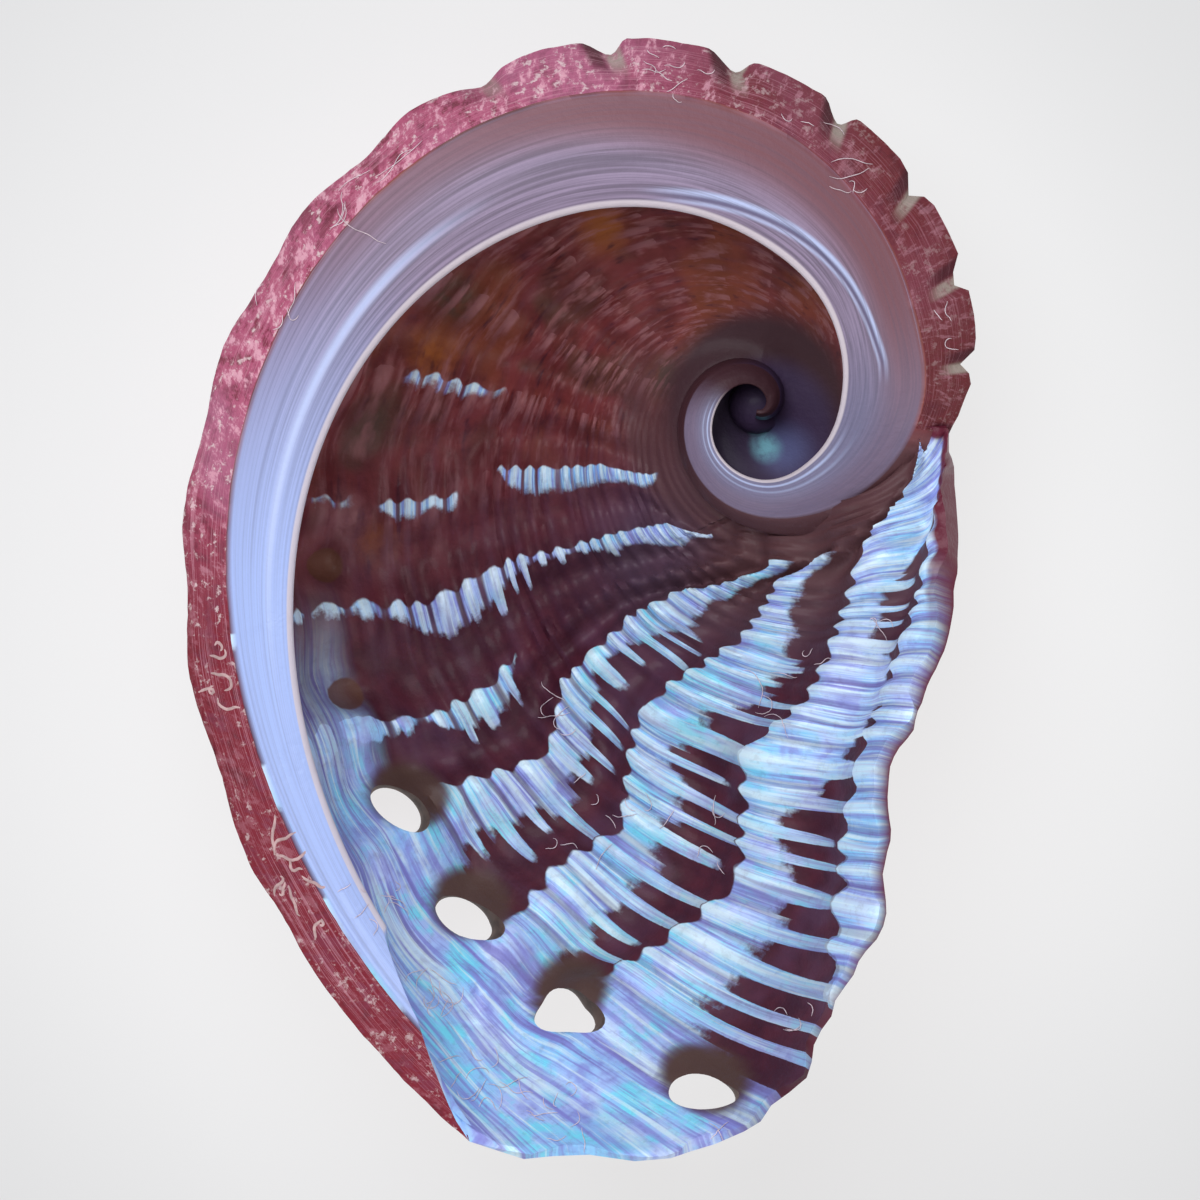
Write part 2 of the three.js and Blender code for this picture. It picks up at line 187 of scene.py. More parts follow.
def inwardNormal(across, turn):
    low, high = max(0, across - 0.004), min(0.999, across + 0.004)
    acrossWay = plainBack(low, turn) - plainBack(high, turn)
    inside = min(across, 0.999)
    turnWay = plainBack(inside, turn + 0.4) - plainBack(inside, turn - 0.4)
    n = -np.cross(acrossWay, turnWay)
    return n / np.linalg.norm(n, axis=-1, keepdims=True)


def foldPhase(turn, radius):  # whole numbers on the crests of the folds
    turn, radius = np.broadcast_arrays(np.asarray(turn, float), np.asarray(radius, float))
    depth = np.log(np.clip(radius, 4.5, 30))
    lines = []
    for crest in foldCrests:
        reach = np.log([p[0] for p in crest])
        lines.append(np.interp(depth, reach, [p[1] for p in crest]))
    lines = np.maximum.accumulate(np.array(lines) + 0.01 * np.arange(len(lines)).reshape(-1, *[1] * turn.ndim))
    lines = np.concatenate([lines[:1] - 200, lines, lines[-1:] + 200])
    gap = np.concatenate([[0, 10], np.ones(len(lines) - 3), [10]]).cumsum() - 10
    i = np.clip((lines <= turn).sum(axis=0) - 1, 0, len(lines) - 2)
    low = np.take_along_axis(lines, i[None], 0)[0]
    high = np.take_along_axis(lines, i[None] + 1, 0)[0]
    return mix(gap[i], gap[i + 1], (turn - low) / (high - low))


# How far each fold's painted pearly highlight reaches towards the next fold, along the fold: distance from the apex,
# the share in the troughs between ribs, and how much further it runs on the ribs.
foldHighlight = {
    10: [(10, 0, 0), (11.5, 0.09, 0), (13.5, 0.13, 0.02), (15, 0.11, 0), (16, 0, 0)],
    11: [(5, 0, 0), (5.6, 0.14, 0), (7, 0.28, 0.02), (11.2, 0.31, 0.03), (11.7, 0, 0), (13.4, 0, 0),
         (13.8, 0.16, 0.02), (16.4, 0.2, 0.02), (17.4, 0, 0), (18.6, 0.08, 0), (20.4, 0.06, 0), (21, 0, 0)],
    12: [(5.9, 0, 0), (6.1, 0.3, 0), (6.8, 0.45, 0), (8, 0.3, 0.05), (9.4, 0.24, 0.15), (10.4, 0.12, 0.3),
         (12, 0.1, 0.3), (13, 0.2, 0.3), (15.2, 0.42, 0.12), (16.8, 0.4, 0.1), (17.6, 0.24, 0.06), (18.6, 0.1, 0.1),
         (21, 0.05, 0.1)],
    13: [(14.8, 0, 0), (15.6, 0.14, 0.2), (17, 0.34, 0.34), (19, 0.28, 0.22), (20, 0.05, 0.05), (21.5, 0.25, 0.2),
         (23, 0.3, 0.1)],
    14: [(6.75, 0, 0), (7.0, 0.34, 0), (7.6, 0.42, 0.02), (10.2, 0.38, 0.1), (11, 0.28, 0.5), (13, 0.2, 0.9),
         (14.2, 0.36, 0.5), (17, 0.46, 0.5), (19, 0.46, 0.5), (22, 0.5, 0.4)],
    15: [(7.15, 0, 0), (7.4, 0.34, 0), (9, 0.36, 0.06), (10, 0.52, 0.1), (11, 0.64, 0.12), (12.5, 0.6, 0.3),
         (13.4, 0.34, 1.0), (19, 0.38, 1.1), (24, 0.55, 0.8)],
    16: [(6.6, 0.2, 0), (7.2, 1.05, 0), (8.9, 1.0, 0), (9.5, 0.34, 0.3), (11.3, 0.42, 0.5), (12.1, 0.8, 0.4),
         (14, 0.95, 0.3), (16, 0.8, 0.6), (17.6, 0.38, 1.2), (19.3, 0.42, 1.2), (21, 0.55, 1.1), (23, 0.45, 1.2),
         (26, 0.5, 1.0)],
    17: [(8, 1.1, 0), (11, 1.0, 0.3), (17, 1.0, 0.5), (20, 0.8, 0.7), (26, 0.85, 0.5)],
    18: [(8, 1.1, 0.5), (26, 1.1, 0.5)],
    19: [(8, 1.2, 0.5), (26, 1.2, 0.5)],
}
lipEdge = [(240, 0.08), (262, 0.1), (292, 0.1), (302, 0.14), (325, 0.36), (345, 0.5)]  # turn, width in millimetres


def foldHighlights(phase, radius):  # the painted highlight's reach, kept apart for even and odd folds, so that neither jumps where it is used
    lights = {}
    for name, shift in (("Even", 0.5), ("Odd", 1.5)):
        number = 2 * np.floor((phase + shift) / 2) - (name == "Odd")
        for label, column in (("glow", 1), ("comb", 2)):
            share = np.zeros_like(phase)
            for fold, rows in foldHighlight.items():
                here = np.interp(radius, [r[0] for r in rows], [r[column] for r in rows])
                share = np.where(number == fold, here, share)
            lights[label + name] = share
    return lights


def unevenRib(rib, turn):
    waves = ((0.2, 1.3, 0.02, 1), (0.16, 0.53, 0.035, 0), (0.1, 2.9, -0.05, 0))  # height, by rib, by turn, start
    return sum((high * np.sin(byRib * rib + byTurn * turn + start) for high, byRib, byTurn, start in waves), rib)


def toPart(points):  # from the apex in millimetres to the part's frame in metres
    x, y = (math.radians(angle) for angle in spiral["restTilt"])
    tilt = np.array(Matrix.Rotation(y, 3, "Y") @ Matrix.Rotation(x, 3, "X"))
    return (np.asarray(points) @ tilt.T + np.array(spiral["place"])) * 0.001


def turnToPart(vectors):
    return (toPart(vectors) - toPart(np.zeros(3))) * 1000


# A sheet is one closed stretch of the spiral wall, made of rows that follow the turn.
def makeRows():
    seam = float(seamRadius(250.0) / outlineRadius(250.0))
    spacing = -math.log(seam) / spiral["ribCount"]
    domeAt = lambda j: (math.exp(-spacing * j) - seam) / (1 - seam)
    outer = [("nose", math.radians(a), 0) for a in (-90, -54, -18, 18, 54, 90)]
    outer += [("ledge", k / 12, 0) for k in range(1, 13)]
    outer += [("strip", k / 8, 0) for k in range(1, 8)]
    few, many = spiral["rowsPerRib"]
    outer += [("back", domeAt(k / few), k / few) for k in range(few * spiral["ribCount"] + 1)]
    inner = [("under", k / 8, 0) for k in range(1, 8)]
    inner += [("inside", domeAt(k / many), k / many) for k in range(many * spiral["ribCount"] + 1)]
    return outer, inner


def lipTurn(zone, at, rib):
    edge, back, out = spiral["ledgeEdgeEnd"], spiral["ledgeBackEnd"], spiral["outlineEnd"]
    straight = {"nose": (edge, edge), "under": (edge, out), "ledge": (edge, back), "strip": (back, out)}
    if zone in straight:
        return mix(*straight[zone], at)
    low, high = out, 354.0
    for _ in range(30):
        middle = (low + high) / 2
        radius = mix(seamRadius(middle), outlineRadius(middle), at)
        low, high = (middle, high) if radius < along(lipReach, middle) else (low, middle)
    wave = 0.5 * math.sin(0.9 * rib + 0.4) + 0.35 * math.sin(1.9 * rib) + 0.25 * math.sin(3.1 * rib + 2)
    wave += 0.8 * math.sin(4.9 * rib + 0.5) * float(smooth(0.55, 0.75, at))
    return low + spiral["lipWave"] * wave * float(smooth(1, 0.975, at) * smooth(0, 0.15, at))


def ledgeDepth(turn):
    return spiral["ledgeWall"] * sizeShare(turn) * mix(1, 0.6, smooth(225, 245, turn))


def soften(vectors, reach=4):  # averages along the row, so that the inside doesn't fold over where the rim bends
    padded = np.pad(vectors, ((reach, reach), (0, 0)), "edge")
    total = sum(padded[k:k + len(vectors)] for k in range(2 * reach + 1))
    return total / np.linalg.norm(total, axis=1, keepdims=True)


def insidePoint(at, turn, endTurn):
    thick = mix(spiral["lipWall"], spiral["wall"] * sizeShare(turn), smooth(0, spiral["lipTaper"], endTurn - turn))
    inward = soften(inwardNormal(at, turn))
    spot = plainBack(at, turn) + inward * thick[:, None]
    edge, out = railRadius(ledgeEdgeRail, turn), outlineRadius(turn)
    hold = edge + 0.3 * (out - edge) + 40 * smooth(228, 262, turn)
    radius = np.hypot(spot[:, 0], spot[:, 1])
    soft = 0.05 * out
    held = hold - soft * np.log1p(np.exp(np.minimum(60, (hold - radius) / soft)))
    spot[:, :2] *= (np.maximum(held, 0.05) / np.maximum(radius, 0.05))[:, None]
    spot[:, 2] += 0.25 * outlineRadius(turn - 360) * smooth(0.16, 0, at) ** 2 * smooth(352, 310, turn)
    return spot, inward


def rowPoints(zone, at, turn, endTurn):
    edge, back, out = railRadius(ledgeEdgeRail, turn), railRadius(ledgeBackRail, turn), outlineRadius(turn)
    edgeZ, backZ = along(ledgeEdgeHeight, turn), along(ledgeBackHeight, turn)
    nose = spiral["noseWall"] * sizeShare(turn) * mix(1, 0.7, smooth(225, 245, turn))
    up = np.tile([0.0, 0.0, 1.0], (len(turn), 1))
    if zone == "nose":
        r = edge + 0.45 * nose * (1 - math.cos(at))
        return polar(turn, r, edgeZ - nose / 2 + nose / 2 * math.sin(at)), up
    if zone == "ledge":
        crown = spiral["ledgeCrown"] * math.sin(math.pi * at) * sizeShare(turn)
        return polar(turn, mix(edge + 0.45 * nose, back, at), mix(edgeZ, backZ, at) + crown), up
    lump = spiral["lumpHeight"] * smooth(-10, 15, turn) * mix(1, 0.35, smooth(115, 160, turn)) * smooth(245, 215, turn)
    notch = np.abs(foldPhase(turn, 20.0) % 1 - 0.5)
    lump = lump * mix(np.cos(2 * math.pi * notch + math.pi), 1 - 1.75 * smooth(0.2, 0, notch), smooth(150, 110, turn))
    outward = polar(turn, np.ones_like(turn), 0)
    if zone == "strip":
        r = mix(back, out, at) + lump * at ** 3
        z = mix(backZ, along(outlineHeight, turn), at ** 1.5) + 2.8 * lump * at ** 2 * (1 - at)
        return polar(turn, r, z), 0.6 * outward + 0.8 * up
    if zone == "back":
        spot = plainBack(at, turn)
        swell = lump * float(smooth(0.6, 1, at))
        return spot + outward * swell[:, None], inwardNormal(at, turn)
    if zone == "inside":
        return insidePoint(at, turn, endTurn)
    wall, _ = insidePoint(1.0, turn, endTurn)
    under = polar(turn, edge + 0.45 * nose, edgeZ - nose)
    droop = (ledgeDepth(turn) - nose + spiral["ledgeCrown"] * sizeShare(turn)) * math.sin(math.pi * at)
    spot = mix(under, wall, at)
    spot[:, 2] -= np.maximum(droop, 0)
    return spot, -up


def poreFields(x, y):  # how near a pore's rim is, and how deep in its shade
    rim, shade = np.zeros_like(x), np.zeros_like(x)
    for px, py, long, wide, turn in openPores:
        a = math.radians(turn)
        u = ((x - px) * math.cos(a) + (y - py) * math.sin(a)) / long
        v = ((y - py) * math.cos(a) - (x - px) * math.sin(a)) / wide
        rim = np.maximum(rim, smooth(1.75, 1.05, np.hypot(u, v)))
        towards = math.hypot(px, py)
        sx, sy = px - px / towards * 1.05 * wide, py - py / towards * 1.05 * wide
        u = ((x - sx) * math.cos(a) + (y - sy) * math.sin(a)) / (long + 0.1)
        v = ((y - sy) * math.cos(a) - (x - sx) * math.sin(a)) / (wide + 0.4)
        shade = np.maximum(shade, smooth(1.4, 0.9, np.hypot(u, v)))
    return rim, shade


def dimpleField(x, y):
    dimple = np.zeros_like(x)
    for px, py in healedPores:
        d = np.hypot(x - px, y - py)
        dimple += smooth(0.95, 0.35, d) - 0.35 * smooth(0.5, 0, np.abs(d - 1.1))
    return dimple


def sheetFields(zone, at, rib, spot, turn, end, atLip):  # what the relief and the colours read
    x, y = spot[:, 0], spot[:, 1]
    plan = np.hypot(x, y)
    drift = (np.degrees(np.arctan2(y, x)) - turn + 180) % 360 - 180
    seen = turn + drift * smooth(2, 4, plan)  # the turn as seen from above
    dome = zone in ("back", "inside")
    rim, shade = poreFields(x, y)
    late = smooth(60, 130, turn)
    edgeWidth = np.interp(seen, *zip(*lipEdge)) * (4 if zone == "back" else 1)
    lip = smooth(1.25, 0.8, np.radians(end - turn) * plan / edgeWidth) * (atLip and dome) * smooth(262, 288, seen)
    phase = foldPhase(seen, plan)
    return {
        "fold": phase, "rib": unevenRib(rib, turn), "turn": seen, "reach": plan,
        "across": 0 if zone == "nose" else at,
        "ledge": zone in ("nose", "ledge"),
        "outside": (zone in ("strip", "back")) * (smooth(-14, -10, turn) if zone == "strip" or at > 0.82 else 1),
        "foldFade": dome * smooth(95, 185, turn) * smooth(4.5, 8, plan) * smooth(0.98, 0.78, at),
        "ribFade": dome * smooth(3, 9, plan) * smooth(1, 0.93, at) * mix(0.5, 1, smooth(150, 215, turn))
        * smooth(0, 2.5, end - turn if atLip else 9),
        "rim": rim * late * dome, "shade": shade * late * dome,
        "dimple": dimpleField(x, y) * late * (zone == "inside"),
        "lip": lip * (smooth(300, 322, seen) if zone == "inside" else 1),
        **foldHighlights(phase, plan),
    }


def newPiece(name, points, edges, faces):
    mesh = bpy.data.meshes.new(name)
    mesh.from_pydata(points, edges, faces)
    piece = bpy.data.objects.new(name, mesh)
    bpy.context.scene.collection.objects.link(piece)
    return piece


def makeSheet(name, firstTurn, lastTurn, columns, bunch=0.0):  # with no last turn it ends at the lip
    outer, inner = makeRows()
    share = np.linspace(0, 1, columns + 1)
    share = share + bunch * share * (1 - share)
    points, lifts, fields = [], [], {}
    for zone, at, rib in outer + inner:
        end = lipTurn(zone, at, rib)
        turn = mix(firstTurn, end if lastTurn is None else lastTurn, share)
        spot, lift = rowPoints(zone, at, turn, end)
        points.append(spot)
        lifts.append(lift)
        for field, value in sheetFields(zone, at, rib, spot, turn, end, lastTurn is None).items():
            fields.setdefault(field, []).append(np.broadcast_to(np.asarray(value, float), turn.shape))
    width, outerCount, innerCount = columns + 1, len(outer), len(inner)
    corner = lambda row, column: row * width + column
    faces = []

    def strip(rowA, rowB):
        c = np.arange(columns)
        square = [corner(rowA, c), corner(rowB, c), corner(rowB, c + 1), corner(rowA, c + 1)]
        faces.extend(np.stack(square, axis=1).tolist())

    for row in range(outerCount - 1):
        strip(row, row + 1)
    for row in range(innerCount - 1):
        strip(outerCount + row + 1, outerCount + row)
    strip(outerCount, 0)
    strip(outerCount - 1, outerCount + innerCount - 1)
    # the two ends: triangles between the outer and the inner rows, matched by where they are
    keyOuter = [{"nose": 0.0, "ledge": 0.5 * a, "strip": 0.5 + 0.5 * a, "back": 1 + r}[z] for z, a, r in outer]
    keyInner = [{"under": 0.1 + 0.85 * a, "inside": 1 + r}[z] for z, a, r in inner]
    for column, turned in ((0, False), (columns, True)):
        i = j = 0
        while i < outerCount - 1 or j < innerCount - 1:
            triangle = [corner(i, column), corner(outerCount + j, column)]
            if j == innerCount - 1 or (i < outerCount - 1 and keyOuter[i + 1] <= keyInner[j + 1]):
                i += 1
                triangle.append(corner(i, column))
            else:
                j += 1
                triangle.append(corner(outerCount + j, column))
            faces.append(triangle[::-1] if turned else triangle)
    sheet = newPiece(name, toPart(np.concatenate(points)).tolist(), [], faces)
    for field, values in fields.items():
        attribute = sheet.data.attributes.new(field, "FLOAT", "POINT")
        attribute.data.foreach_set("value", np.concatenate(values).astype(np.float32))
    lift = turnToPart(np.concatenate(lifts)).astype(np.float32)
    sheet.data.attributes.new("lift", "FLOAT_VECTOR", "POINT").data.foreach_set("vector", lift.ravel())
    return sheet


# Small helpers for node trees.
def setInputs(tree, node, inputs):
    for key, value in dict(inputs).items():
        if isinstance(value, bpy.types.NodeSocket):
            tree.links.new(value, node.inputs[key])
        else:
            node.inputs[key].default_value = value


def addNode(tree, kind, inputs=(), **settings):
    node = tree.nodes.new(kind)
    for key, value in settings.items():
        setattr(node, key, value)
    setInputs(tree, node, inputs)
    return node


def calc(tree, operation, a, b=0.0):
    return addNode(tree, "ShaderNodeMath", {0: a, 1: b}, operation=operation).outputs[0]


def span(tree, value, low, high, out=(0.0, 1.0), kind="SMOOTHSTEP"):
    inputs = {"Value": value, "From Min": low, "From Max": high, "To Min": out[0], "To Max": out[1]}
    return addNode(tree, "ShaderNodeMapRange", inputs, interpolation_type=kind).outputs[0]


def shortForms(tree):
    chain = lambda operation: lambda *parts: functools.reduce(lambda a, b: calc(tree, operation, a, b), parts)
    less = chain("SUBTRACT")
    apart = lambda a, b: calc(tree, "ABSOLUTE", less(a, b))
    ramp = lambda *numbers, **more: span(tree, *numbers, **more)
    return chain("MULTIPLY"), chain("ADD"), less, chain("MAXIMUM"), apart, ramp


def combine(tree, x, y, z=0.0):
    return addNode(tree, "ShaderNodeCombineXYZ", {0: x, 1: y, 2: z}).outputs[0]


def grain(tree, vector, scale, detail=2.0, roughness=0.5):
    inputs = {"Vector": vector, "Scale": scale, "Detail": detail, "Roughness": roughness}
    return addNode(tree, "ShaderNodeTexNoise", inputs).outputs[0]


def readFields(tree, names, shader=False):
    if shader:
        return [addNode(tree, "ShaderNodeAttribute", attribute_name=name, attribute_type="GEOMETRY").outputs["Fac"]
                for name in names.split()]
    return [addNode(tree, "GeometryNodeInputNamedAttribute", {"Name": name}, data_type="FLOAT").outputs["Attribute"]
            for name in names.split()]


def blendColour(tree, amount, a, b):
    plain = lambda value: value if isinstance(value, bpy.types.NodeSocket) else (*value, 1.0)
    inputs = {0: amount, 6: plain(a), 7: plain(b)}
    return addNode(tree, "ShaderNodeMix", inputs, data_type="RGBA", clamp_factor=True).outputs[2]


def paint(tree, look, base, layers):  # each layer is a colour's name and how much of it shows
    for name, amount in layers:
        base = blendColour(tree, amount, base, look[name])
    return base


def newGeometryTree(name, inputs):
    tree = bpy.data.node_groups.new(name, "GeometryNodeTree")
    tree.interface.new_socket("Geometry", in_out="INPUT", socket_type="NodeSocketGeometry")
    tree.interface.new_socket("Geometry", in_out="OUTPUT", socket_type="NodeSocketGeometry")
    for label, kind in inputs:
        tree.interface.new_socket(label, in_out="INPUT", socket_type=kind)
    return tree, addNode(tree, "NodeGroupInput"), addNode(tree, "NodeGroupOutput")


def runTree(piece, tree, values):  # the tree's result becomes the piece's plain mesh
    modifier = piece.modifiers.new(tree.name, "NODES")
    modifier.node_group = tree
    sockets = {s.name: s.identifier for s in tree.interface.items_tree if s.in_out == "INPUT"}
    for label, value in values.items():
        modifier[sockets[label]] = value
    bakeMesh(piece)


def bakeMesh(piece):
    bpy.context.view_layer.update()
    evaluated = piece.evaluated_get(bpy.context.evaluated_depsgraph_get())
    mesh = bpy.data.meshes.new_from_object(evaluated)
    piece.modifiers.clear()
    old = piece.data
    piece.data = mesh
    if old.users == 0:
        (bpy.data.curves if isinstance(old, bpy.types.Curve) else bpy.data.meshes).remove(old)


def newMaterial(name):
    material = bpy.data.materials.new(name)
    material.use_nodes = True
    tree = material.node_tree
    tree.nodes.clear()
    shader = addNode(tree, "ShaderNodeBsdfPrincipled")
    addNode(tree, "ShaderNodeOutputMaterial", {"Surface": shader.outputs[0]})
    return material, tree, shader, addNode(tree, "ShaderNodeTexCoord").outputs["Object"]


def addBump(tree, height, look):
    inputs = {"Strength": look["bump"][0], "Distance": look["bump"][1], "Height": height}
    return addNode(tree, "ShaderNodeBump", inputs).outputs[0]


pearlLook = {
    "darkLate": (0.050, 0.008, 0.020), "darkLateAlt": (0.085, 0.014, 0.028),
    "darkEarly": (0.145, 0.022, 0.022), "darkEarlyAlt": (0.22, 0.038, 0.04), "amber": (0.38, 0.11, 0.025),
    "olive": (0.085, 0.05, 0.03), "dashRose": (0.38, 0.15, 0.16), "seamBrown": (0.10, 0.04, 0.046),
    "dusk": (0.12, 0.05, 0.10), "duskGrey": (0.10, 0.065, 0.105), "whorlBrown": (0.06, 0.022, 0.03),
    # lilac, sky, aqua, white and violet: colours of the painted pearly highlight
    "lilac": (0.46, 0.58, 1.0), "sky": (0.30, 0.64, 1.0), "aqua": (0.20, 0.80, 0.98),
    "white": (0.76, 0.93, 1.0), "violet": (0.25, 0.25, 0.68),
    "lipRed": (0.13, 0.016, 0.035), "healed": (0.13, 0.05, 0.03), "poreBrown": (0.085, 0.045, 0.035),
    "ledgeDark": (0.1584, 0.1224, 0.18), "ledgeLight": (0.319, 0.2465, 0.3625),
    # ledgeEdge: the colour of the painted highlight along the ledge's inner edge
    "ledgeBrown": (0.21, 0.078, 0.088), "ledgeBlue": (0.40, 0.52, 0.90), "ledgeEdge": (0.66, 0.58, 0.62),
    # grooveDark: the colour of a painted shade line for a groove
    # streak: the colour of the painted highlight streak on the ledge, also used for its pale lines
    "ringGrey": (0.165, 0.17, 0.28), "streak": (0.52, 0.60, 0.88), "grooveDark": (0.10, 0.10, 0.20),
    "eye": (0.06, 0.035, 0.085), "eyeAt": (0.5, -1.0), "haze": (0.13, 0.15, 0.33), "hazeAt": (1.2, -1.8),
    # eyeGlow: a painted teal sheen in the eye
    "eyeGlow": (0.22, 0.52, 0.62), "eyeGlowAt": (0.5, -1.75), "eyeGlowTop": (0.2, -0.95),
    # middle and width of a patch in millimetres, and its colour
    "patches": [((-6.6, 7.6), 1.7, "amber"), ((-14.0, 2.2), 1.6, "amber"), ((-13.2, 4.6), 1.9, "olive"),
                ((-16.6, -0.8), 1.9, "olive"), ((-16.5, -6.0), 1.6, "amber"), ((-4.0, 1.2), 1.6, "olive"),
                ((-17.9, -4.8), 1.6, "dashRose")],
    "roughness": 0.5, "metallic": 0.05, "specular": 0.25, "coat": 0.08, "coatRoughness": 0.2,
    "bump": (0.35, 0.00012),  # strength, distance
}


def makePearl():
    look = pearlLook
    material, tree, shader, spot = newMaterial("pearl")
    times, total, less, most, apart, ramp = shortForms(tree)
    fold, rib, turn, across, ledge, reach, shade, dimple, lip, glowEven, glowOdd, combEven, combOdd = readFields(
        tree, "fold rib turn across ledge reach shade dimple lip glowEven glowOdd combEven combOdd", True)
    broad, middle, fine = grain(tree, spot, 230, 2), grain(tree, spot, 620, 3, 0.6), grain(tree, spot, 2600, 3, 0.65)

    def drawn(field, often, slow, detail, harshness):  # noise drawn out along the turn
        return grain(tree, combine(tree, times(field, often), times(turn, slow)), 1.0, detail, harshness)

    streaks, lines, hairs = drawn(rib, 1.6, 0.06, 4, 0.65), drawn(rib, 4.2, 0.05, 3, 0.6), drawn(rib, 9.5, 0.07, 3, 0.6)
    dashes, growth = drawn(rib, 1.5, 0.085, 3, 0.62), drawn(across, 26.0, 0.02, 4, 0.62)
    # a cell is one rib within one fold; its random number sets how far its painted highlight reaches from the fold's
    # crest
    ribWave = ramp(calc(tree, "COSINE", times(rib, 2 * math.pi)), -1, 1, kind="LINEAR")
    steady = ramp(reach, 6, 11, (0.25, 1.0))
    nudged = total(fold, times(less(middle, 0.5), 0.16, steady), times(less(ribWave, 0.5), 0.07, steady))
    foldCell, ribCell = calc(tree, "FLOOR", nudged), calc(tree, "FLOOR", total(rib, 0.5))
    into = calc(tree, "FRACT", nudged)
    odd = calc(tree, "MODULO", foldCell, 2.0)
    even = less(1.0, odd)
    glow = total(times(glowEven, even), times(glowOdd, odd))
    comb = total(times(combEven, even), times(combOdd, odd))
    random = addNode(tree, "ShaderNodeTexWhiteNoise", {"Vector": combine(tree, foldCell, ribCell)}).outputs["Value"]
    fingers = total(times(ramp(ribWave, 0.55, 0.88), 0.75), times(calc(tree, "POWER", ribWave, 2.2), 0.25))
    width = total(glow, times(comb, fingers, ramp(random, 0.0, 1.0, (0.5, 1.3))),
                  times(less(random, 0.5), glow, 0.4, steady), times(less(fine, 0.5), 0.14))
    lead = most(ramp(into, 0.0, 0.03), ramp(glow, 0.7, 0.95))
    gaps = times(ramp(ribWave, total(0.12, times(random, 0.2)), 0.02), ramp(turn, 215, 260, (0.9, 0.3)),
                   ramp(reach, 6.5, 10, (0.25, 1.0)))
    lateTurns = ramp(turn, 200, 228)
    outer = times(ramp(across, 0.72, 0.80), lateTurns)
    # paintedHighlight: where the painted pearly highlight lies, on the folds, their ribs and the outer margin beyond
    # the pores
    paintedHighlight = times(ramp(less(width, into), -0.03, 0.07), ramp(most(glow, comb), 0.03, 0.1), lead, less(1.0, gaps),
                  less(1.0, times(into, 0.35, ramp(glow, 0.9, 0.6))))
    paintedHighlight = times(most(paintedHighlight, outer), ramp(fine, 0.3, 0.5, (0.86, 1.0)), ramp(lines, 0.3, 0.45, (0.75, 1.0)),
                  less(1.0, times(shade, 0.95)))
    inRow = less(1.0, times(ramp(across, 0.62, 0.72), lateTurns))
    # the painted highlight's colour: lilac, sky, aqua and white sheen with violet lines
    light = paint(tree, look, look["lilac"], (
        ("sky", ramp(broad, 0.35, 0.62)),
        ("aqua", times(ramp(middle, 0.46, 0.64), ramp(turn, 290, 255, (0.25, 0.9)), ramp(turn, 205, 235))),
        ("violet", times(ramp(middle, 0.48, 0.3), 0.7)),
        ("violet", times(ramp(ribWave, 0.4, 0.0), 0.35)),
        ("violet", times(ramp(lines, 0.49, 0.38), outer, 0.75)),
        ("white", times(ramp(streaks, 0.5, 0.62), outer, 0.6)),
        ("violet", times(ramp(hairs, 0.5, 0.38), 0.75)),
        ("violet", times(ramp(lines, 0.46, 0.34), 0.7)),
        ("white", times(ramp(hairs, 0.53, 0.66), 0.7)),
        ("white", times(ramp(lines, 0.48, 0.64), inRow, 0.7)),
        ("white", times(ramp(ribWave, 0.6, 1.0), inRow, ramp(into, 0.5, 0.0, (0.25, 0.75)))),
    ))
    darkLate = paint(tree, look, look["darkLate"], (
        ("darkLateAlt", ramp(middle, 0.35, 0.7)),
        ("dusk", times(ramp(broad, 0.5, 0.65), 0.4)),
    ))
    angle = times(turn, math.pi / 180)
    plan = combine(tree, times(reach, calc(tree, "COSINE", angle)), times(reach, calc(tree, "SINE", angle)))

    def near(place, far, close):
        distance = addNode(tree, "ShaderNodeVectorMath", {0: plan, 1: (*place, 0)}, operation="DISTANCE")
        return ramp(distance.outputs["Value"], far, close)

    patchy = ramp(middle, 0.38, 0.55, (0.35, 0.95))
    caps = times(ramp(into, 0.62, 0.12), ramp(ribWave, 0.4, 0.85), ramp(dashes, 0.36, 0.56), 0.75)
    darkEarly = paint(tree, look, look["darkEarly"], (
        ("darkEarlyAlt", ramp(middle, 0.35, 0.65)),
        ("amber", times(ramp(broad, 0.5, 0.66), 0.3)),
        ("olive", times(ramp(broad, 0.46, 0.36), 0.5)),
        *((colour, times(near(place, far, 0.2), patchy)) for place, far, colour in look["patches"]),
        ("dashRose", most(times(ramp(dashes, 0.5, 0.7), 0.7), caps)),
        ("darkLate", times(ramp(dashes, 0.42, 0.28), 0.7)),
    ))
    # a painted teal sheen in the eye, strongest at two points
    eyeGlow = most(near(look["eyeGlowAt"], 0.95, 0.1), times(near(look["eyeGlowTop"], 0.7, 0.1), 0.8))
    dark = paint(tree, look, blendColour(tree, ramp(turn, 225, 165), darkLate, darkEarly), (
        ("dusk", times(ribWave, ramp(streaks, 0.4, 0.65), 0.2)),
        ("duskGrey", times(ramp(turn, 205, 235), ramp(reach, 13, 8), 0.6)),
        ("seamBrown", times(ramp(turn, 235, 262), ramp(reach, 12, 7))),
        ("seamBrown", times(ramp(reach, 6.6, 5.4), ramp(turn, 130, 200), 0.85)),
        ("seamBrown", ramp(turn, -6, -20)),
        ("whorlBrown", ramp(reach, 4.6, 3.4)),
        ("eye", near(look["eyeAt"], 3.4, 2.3)),
        ("haze", times(near(look["hazeAt"], 1.7, 0.3), 0.7)),
        ("eyeGlow", times(eyeGlow, ramp(fine, 0.3, 0.6, (0.55, 1.0)))),
    ))
    inside = paint(tree, look, blendColour(tree, paintedHighlight, dark, light), (
        ("poreBrown", times(shade, 0.92)),
        ("healed", times(ramp(dimple, 0.05, 0.4), 0.85)),
        ("lipRed", lip),
    ))
